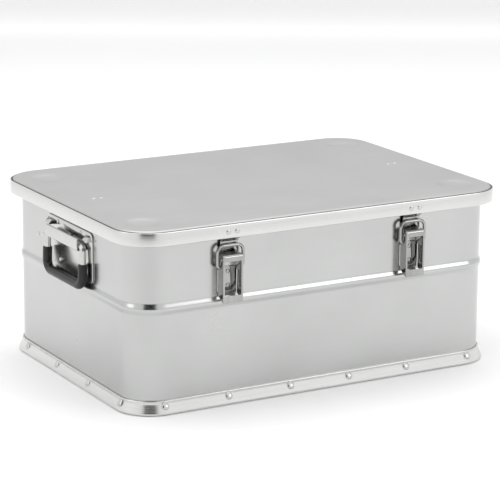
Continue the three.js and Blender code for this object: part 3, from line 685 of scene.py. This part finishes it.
def latch_base(low, high):
    pivot = high - PIVOT_DOWN
    plate = prism(rounded_plate(CHEEK_HALF, low + 12.8, high - 18.4, 5), (0.3, 1.6), axis=1)
    soften(plate, 0.4)
    cheek = [
        (0.3, pivot - 17), (14, pivot - 17), (14.4, pivot - 16.4), (14.4, pivot - 4),
        *arc((PIVOT_OUT, pivot), 4.2, -20, 230, 12), (0.3, pivot - 7.5),
    ]
    inside = CHEEK_HALF - LATCH_SHEET
    cheeks = [prism(cheek, (-CHEEK_HALF, -inside)), prism(cheek, (inside, CHEEK_HALF))]
    for part in cheeks:
        soften(part, 0.2)
    pin = wire(-16.0, PIVOT_OUT, pivot, 2.4, [Vector((32.0, 0, 0))])
    soften(pin, 0.5)
    heads = rivets_on([(0, high - 25.4), (0, low + 20.8)], 1.6, 3.1, 1.2)
    return [plate, *cheeks, pin, heads]


def latch_lever(low, high, reach):
    """Front sheet with its window, carried up into the rolled top; a bent side on each edge."""
    bm = bmesh.new()
    roll = 4.0
    row = chain(bm, [(x, reach, low) for x in (-LEVER_HALF, -WINDOW_HALF, WINDOW_HALF, LEVER_HALF)])
    window_foot, window_top = low + 9.7, high - 9.1
    carry(bm, row, [
        Vector((0, 0, window_foot - low)), Vector((0, 0, window_top - window_foot)),
        Vector((0, 0, high - roll - window_top)),
        ((0, reach - roll, high - roll), (1, 0, 0), math.pi * 0.62, 8),
    ])
    bmesh.ops.remove_doubles(bm, verts=bm.verts, dist=0.001)
    opening = [
        f for f in bm.faces
        if abs(f.calc_center_median().x) < 1 and window_foot < f.calc_center_median().z < window_top
    ]
    bmesh.ops.delete(bm, geom=opening, context="FACES")
    for sign in (-1, 1):
        edge = sign * LEVER_HALF
        front = [v for v in bm.verts if abs(v.co.x - edge) < 0.01 and v.co.y > reach - roll - 0.1]
        front.sort(key=lambda v: v.co.z - v.co.y)
        back = (
            (6.7, high - 0.2), (4.2, high - 2.4), (3, high - 6.4), (LEVER_BACK, high - 14.4),
            (LEVER_BACK, low + 8.5),
        )
        bm.faces.new(front + [bm.verts.new((edge, out, up)) for out, up in back])
    bmesh.ops.recalc_face_normals(bm, faces=bm.faces)
    bm.normal_update()
    face = max(bm.faces, key=lambda f: f.calc_area() if abs(f.normal.y) > 0.9 else 0)
    if face.normal.y < 0:
        for f in bm.faces:
            f.normal_flip()
    bmesh.ops.solidify(bm, geom=bm.faces[:], thickness=LATCH_SHEET)
    soften(bm, 0.35, 2, 50)
    return bm


def latch_loop(high, top):
    """Wire from one side of the lever, up, over the top and down to the other."""
    foot, arm, bar = high - LOOP_DOWN, LEVER_HALF + 2.1 + LOOP_R, top - LOOP_R
    bend, corner = 4.0, 9.0
    quarter, turn_axis = math.pi / 2, (0, -1, 0)
    rise = bar - corner - foot - bend
    inside = arm - bend - LEVER_INNER - 0.2
    return wire(LEVER_INNER + 0.2, LOOP_OUT, foot, LOOP_R, [
        Vector((inside, 0, 0)),
        ((arm - bend, LOOP_OUT, foot + bend), turn_axis, quarter, 6),
        Vector((0, 0, rise)),
        ((arm - corner, LOOP_OUT, bar - corner), turn_axis, quarter, 10),
        Vector((-2 * (arm - corner), 0, 0)),
        ((corner - arm, LOOP_OUT, bar - corner), turn_axis, quarter, 10),
        Vector((0, 0, -rise)),
        ((bend - arm, LOOP_OUT, foot + bend), turn_axis, quarter, 6),
        Vector((inside, 0, 0)),
    ])


def latch_catch(low, high):
    """Folded strip: up behind the band, in toward the wall, and down to a plain lip with a rib."""
    band_face, hook_face = 12.6, 5.1
    bend = high - 17.0
    outline = [
        (band_face, high - 0.2), (band_face - 1.4, high - 0.2), (band_face - 1.4, bend + 4.4),
        (hook_face - 1.4, bend - 1.2), (hook_face - 1.4, low + 0.1), (hook_face, low + 0.1),
        *[(hook_face + 0.5 * math.sin(math.pi * i / 4), low + 5.6 + 0.7 * i) for i in range(5)],
        (hook_face, bend - 1.6), (band_face, bend + 3.9),
    ]
    part = prism(outline, (-CHEEK_HALF, CHEEK_HALF))
    soften(part, 0.3, 2, 50)
    return part


for side, x in latch_xs.items():
    low, high = node_box(f"latch_lever_{side}")
    loop_high = node_box(f"latch_loop_{side}")[1].z
    catch_low, catch_high = node_box(f"latch_catch_{side}")
    reach = -wall_y - low.y
    place = wall_place(x, -wall_y, 180)
    base_parts = latch_base(low.z, high.z)
    finish_piece(
        gather(place, *base_parts), f"latch_base_plate_{side}", polished_steel, "case",
        [f"latch_base_{side}", f"latch_pin_{side}"], turn_out=False,
    )
    for part, piece, body, node in (
        (latch_lever(low.z, high.z, reach), "latch_lever_sheet", f"latch_lever_{side}", "latch_lever"),
        (latch_loop(high.z, loop_high), "latch_loop_wire", f"latch_loop_{side}", "latch_loop"),
        (latch_catch(catch_low.z, catch_high.z), "latch_catch_strip", "lid", "latch_catch"),
    ):
        moved = gather(place, part)
        finish_piece(moved, f"{piece}_{side}", polished_steel, body, [f"{node}_{side}"])

# Drop handles. A riveted plate with two small gussets, a hood folded over the rod, the rod bent
# into a bail that leans on the bead, and a moulded black grip round its bar.
BAIL_R = 4.6
BAIL_HALF = 57.0
GRIP_R = 6.5
GRIP_LEG = 31.0
bright_steel = streaked_metal(
    "bright_zinc_plated_steel", "#B0B0AE", "#DCDCDA", (240, 240, 240), (0.14, 0.24), 0.04, 0.5
)
ELBOW_R = 6.0
BAR_CORNER_R = 14.0
AXIS_DOWN = 21.0  # below the top of the plate
AXIS_OUT = 8.0
BAIL_DROP = 55.0
BEAD_CLEAR = 0.75  # between the grip and the bead
HOOD_HALF = 50.0
black_plastic = moulded_black("moulded_black_plastic", "#040505", "#0C0D0E", (0.30, 0.42), 700.0, 0.15)


def bail_route(leg_top, bar_up, out):
    """From the top of one leg down, across the bar and up the other leg."""
    quarter, turn_axis = math.pi / 2, (0, 1, 0)
    leg = leg_top - bar_up - BAR_CORNER_R
    inner = BAIL_HALF - BAR_CORNER_R
    return [
        Vector((0, 0, -leg)), ((inner, out, bar_up + BAR_CORNER_R), turn_axis, quarter, 10),
        Vector((-2 * inner, 0, 0)), ((-inner, out, bar_up + BAR_CORNER_R), turn_axis, quarter, 10),
        Vector((0, 0, leg)),
    ]


def bail(axis_up, bar_up, out):
    shoulder = BAIL_HALF - ELBOW_R
    quarter, turn_axis = math.pi / 2, (0, 1, 0)
    route = [
        Vector((shoulder - 4, 0, 0)), ((shoulder, out, axis_up - ELBOW_R), turn_axis, quarter, 8),
        *bail_route(axis_up - ELBOW_R, bar_up, out),
        ((-shoulder, out, axis_up - ELBOW_R), turn_axis, quarter, 8), Vector((shoulder - 4, 0, 0)),
    ]
    return wire(4, out, axis_up, BAIL_R, route)


def grip(bar_up, out):
    """Sleeve with a rounded mouth at each end, open to the rod inside."""
    bm = bmesh.new()
    circle = [2 * math.pi * i / 28 for i in range(28)]
    mouth = bar_up + GRIP_LEG
    points = [(BAIL_HALF + GRIP_R * math.cos(a), out + GRIP_R * math.sin(a), mouth) for a in circle]
    carry(bm, chain(bm, points, closed=True), bail_route(mouth, bar_up, out))
    bmesh.ops.remove_doubles(bm, verts=bm.verts, dist=0.0005)
    bmesh.ops.recalc_face_normals(bm, faces=bm.faces)
    bmesh.ops.solidify(bm, geom=bm.faces[:], thickness=1.6)
    rims = [
        e for e in bm.edges
        if all(abs(v.co.z - mouth) < 0.01 for v in e.verts) and e.calc_face_angle(0) > 1
    ]
    bmesh.ops.bevel(bm, geom=rims, offset=0.6, segments=3, profile=0.5, affect="EDGES", material=-1)
    return bm


for side, sign in (("left", -1), ("right", 1)):
    place = wall_place(sign * wall_x, 0, -90 * sign)
    plate_low, plate_high = node_box(f"handle_plate_{side}")
    plate_half, plate_foot, plate_top = plate_high.y, plate_low.z, plate_high.z
    axis_up = plate_top - AXIS_DOWN
    bar_up = axis_up - BAIL_DROP
    lean = math.asin((BEAD_OUT + BEAD_CLEAR + GRIP_R - AXIS_OUT) / BAIL_DROP)
    axis = Matrix.Translation((0, AXIS_OUT, axis_up))
    hung = axis @ Matrix.Rotation(lean, 4, "X") @ axis.inverted()
    plate = prism(rounded_plate(plate_half, plate_foot, plate_top, 7), (SEAT_GAP, 1.8), axis=1)
    soften(plate, 0.4)
    gussets = []
    for middle in (-60, 60):
        wedge = [(1.6, plate_top - 4), (1.6, plate_top - 13), (8, plate_top - 13), (8, plate_top - 11.5)]
        gusset = prism(wedge, (middle - 7, middle + 7))
        soften(gusset, 0.4)
        gussets.append(gusset)
    top_row, low_row = plate_top - 6, plate_foot + 11.5
    points = [(-36.5, top_row), (36.5, top_row), (-31, low_row), (31, low_row)]
    heads = rivets_on(points, 1.8, 3.2, 1.2)
    finish_piece(
        gather(place, plate, *gussets, heads), f"handle_plate_sheet_{side}", bright_steel, "case",
        [f"handle_plate_{side}"], turn_out=False,
    )
    hood_out = AXIS_OUT + BAIL_R + 1.9
    foot, lip = axis_up - BAIL_R - 2.2, axis_up + BAIL_R + 6.4
    hood = prism([
        (2.1, foot), *arc((hood_out - 2.4, foot + 2.4), 2.4, -90, 0, 5),
        *arc((hood_out - 1.6, lip - 1.6), 1.6, 0, 130, 6),
        (hood_out - 1.4, lip - 2.6), (hood_out - 1.4, foot + 2.8),
        *arc((hood_out - 2.6, foot + 2.6), 1.2, 0, -90, 4), (2.1, foot + 1.4),
    ], (-HOOD_HALF, HOOD_HALF))
    body = f"handle_{side}"
    fold = gather(place, hood)
    finish_piece(fold, f"handle_hood_fold_{side}", bright_steel, "case", [f"handle_hood_{side}"])
    rod = gather(place @ hung, bail(axis_up, bar_up, AXIS_OUT))
    finish_piece(rod, f"handle_rod_{side}", bright_steel, body, [f"handle_bail_{side}"])
    sleeve = gather(place @ hung, grip(bar_up, AXIS_OUT))
    finish_piece(sleeve, f"handle_sleeve_{side}", black_plastic, body, [f"handle_grip_{side}"])

# Hinges. Two pairs of pressed leaves on the rear side, their knuckles round one pin.
BARREL_R = 3.4
for side in ("left", "right"):
    leaf_low, leaf_high = node_box(f"hinge_body_leaf_{side}")
    lid_leaf_high = node_box(f"hinge_lid_leaf_{side}")[1]
    pin_low, pin_high = node_box(f"hinge_pin_{side}")
    place = wall_place((leaf_low.x + leaf_high.x) / 2, wall_y, 0)
    half = (leaf_high.x - leaf_low.x) / 2
    hinge_out, hinge_up = pin_low.y + 1.5 - wall_y, (pin_low.z + pin_high.z) / 2
    third, shelf = half / 3, hinge_up - 7
    leaf = prism([
        (SEAT_GAP, leaf_low.z), (1.8, leaf_low.z), (1.8, shelf - 2), (hinge_out - 4.4, shelf - 2),
        (hinge_out - 4.4, shelf), (SEAT_GAP, shelf),
    ], (-half, half))
    arm = [
        (hinge_out - 6.4, shelf - 2), (hinge_out - 2, shelf - 2), (hinge_out + 2.8, hinge_up - 1.6),
        (hinge_out - 3, hinge_up), (hinge_out - 6.4, shelf),
    ]
    inner = third + SEAT_GAP
    arms = [prism(arm, (-half, -inner)), prism(arm, (inner, half))]
    barrel = [Vector((half - inner, 0, 0))]
    knuckles = [wire(start, hinge_out, hinge_up, BARREL_R, barrel) for start in (-half, inner)]
    pin = wire(-half - 0.6, hinge_out, hinge_up, 1.5, [Vector((2 * half + 1.2, 0, 0))])
    for part in [leaf, *arms, *knuckles]:
        soften(part, 0.3, 2, 50)
    heads = rivets_on([(x, leaf_low.z + 12) for x in (-18, 0, 18)], 1.8, 3.0, 1.1)
    finish_piece(
        gather(place, leaf, *arms, *knuckles, pin, heads), f"hinge_wall_leaf_{side}", polished_steel, "case",
        [f"hinge_body_leaf_{side}", f"hinge_pin_{side}"], turn_out=False,
    )
    face = lid_leaf_high.y - wall_y - 1.5
    leaf_foot, leaf_top = band_foot + 1, lid_leaf_high.z
    square = [(face, leaf_foot), (face + 1.4, leaf_foot), (face + 1.4, leaf_top), (face, leaf_top)]
    sheet = prism(square, (-half, half))
    tongue = prism([
        (face, band_foot + 2), (face + 1.4, band_foot + 2), (hinge_out + 3.1, hinge_up + 1),
        (hinge_out - 3.2, hinge_up + 1), (face, band_foot - 1),
    ], (-third, third))
    knuckle = wire(-third, hinge_out, hinge_up, BARREL_R, [Vector((2 * third, 0, 0))])
    for part in (sheet, tongue, knuckle):
        soften(part, 0.3, 2, 50)
    finish_piece(
        gather(place, sheet, tongue, knuckle), f"hinge_band_leaf_{side}", polished_steel, "lid",
        [f"hinge_lid_leaf_{side}"], turn_out=False,
    )

# Lid straps. Black webbing from each end wall to the underside of the lid: a straight line when
# the lid is open; closed, each point of that line is turned back about the hinge by a share of the
# swing that grows with height. The webbing has a fine, even mottle.
STRAP_WIDTH = 25.0
STRAP_THICK = 1.4
STRAP_STEPS = 44
SWING = math.radians(95)
STRAP_WALL_X, STRAP_WALL_Z = 282.3, 189.0
STRAP_WALL_Y = 97.0
strap_lid_z = panel_high.z - 3.5
strap_start, strap_end = STRAP_WALL_Z + 6, panel_high.z - 5.5
hinge_y = wall_y + hinge_out
webbing = moulded_black("woven_polyester_webbing", "#101214", "#262A2E", (0.75, 0.9), 1400.0, 0.6)


def turned(y, z, angle):
    """The point (y, z) turned about the hinge's axis."""
    dy, dz = y - hinge_y, z - hinge_up
    cos, sin = math.cos(angle), math.sin(angle)
    return hinge_y + dy * cos + dz * sin, hinge_up - dy * sin + dz * cos


def smooth(share):
    share = min(1.0, max(0.0, share))
    return share * share * (3 - 2 * share)


def strap_point(along):
    """The closed strap at a share of its length: bisection finds how far its point is turned back."""
    open_y, open_z = turned(STRAP_Y, strap_lid_z, SWING)
    y = STRAP_WALL_Y + along * (open_y - STRAP_WALL_Y)
    z = STRAP_WALL_Z + along * (open_z - STRAP_WALL_Z)
    low, high = 0.0, 1.0
    for _ in range(40):
        share = (low + high) / 2
        height = turned(y, z, -share * SWING)[1]
        if smooth((height - strap_start) / (strap_end - strap_start)) > share:
            low = share
        else:
            high = share
    return Vector((STRAP_WALL_X + (STRAP_X - STRAP_WALL_X) * along, *turned(y, z, -low * SWING)))


def strap(sign):
    line = [strap_point(i / STRAP_STEPS) for i in range(STRAP_STEPS + 1)]
    bm = bmesh.new()
    edges = None
    for i, centre in enumerate(line):
        along = (line[min(i + 1, STRAP_STEPS)] - line[max(i - 1, 0)]).normalized()
        roll = math.pi / 2 * smooth(i / STRAP_STEPS)
        flat = (Vector((1, 0, 0)) - along * along.x).normalized()
        across = along.cross(flat) * math.cos(roll) + flat * math.sin(roll)
        row = [centre + across * STRAP_WIDTH * share for share in (-0.5, -0.25, 0, 0.25, 0.5)]
        row = [(sign * p.x, p.y, p.z) for p in row]
        if edges is None:
            edges = chain(bm, row)
            ends = [edges[0].verts[0]] + [e.verts[1] for e in edges]
        else:
            grown = bmesh.ops.extrude_edge_only(bm, edges=edges)["geom"]
            edges = [g for g in grown if isinstance(g, bmesh.types.BMEdge)]
            fresh = [g for g in grown if isinstance(g, bmesh.types.BMVert)]
            pairs = {
                v: next(e.other_vert(v) for e in v.link_edges if e.other_vert(v) in ends) for v in fresh
            }
            ends = [next(v for v in fresh if pairs[v] == old) for old in ends]
            edges = [e for e in edges if set(e.verts) <= set(fresh)]
        for vert, point in zip(ends, row):
            vert.co = point
    bmesh.ops.recalc_face_normals(bm, faces=bm.faces)
    for vert in bm.verts:
        vert.co -= vert.normal * STRAP_THICK / 2
    bmesh.ops.solidify(bm, geom=bm.faces[:], thickness=-STRAP_THICK)
    return bm


for side, sign in (("left", -1), ("right", 1)):
    node = f"lid_strap_{side}"
    piece = finish_piece(strap(sign), f"strap_webbing_{side}", webbing, None, [node])
    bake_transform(piece)
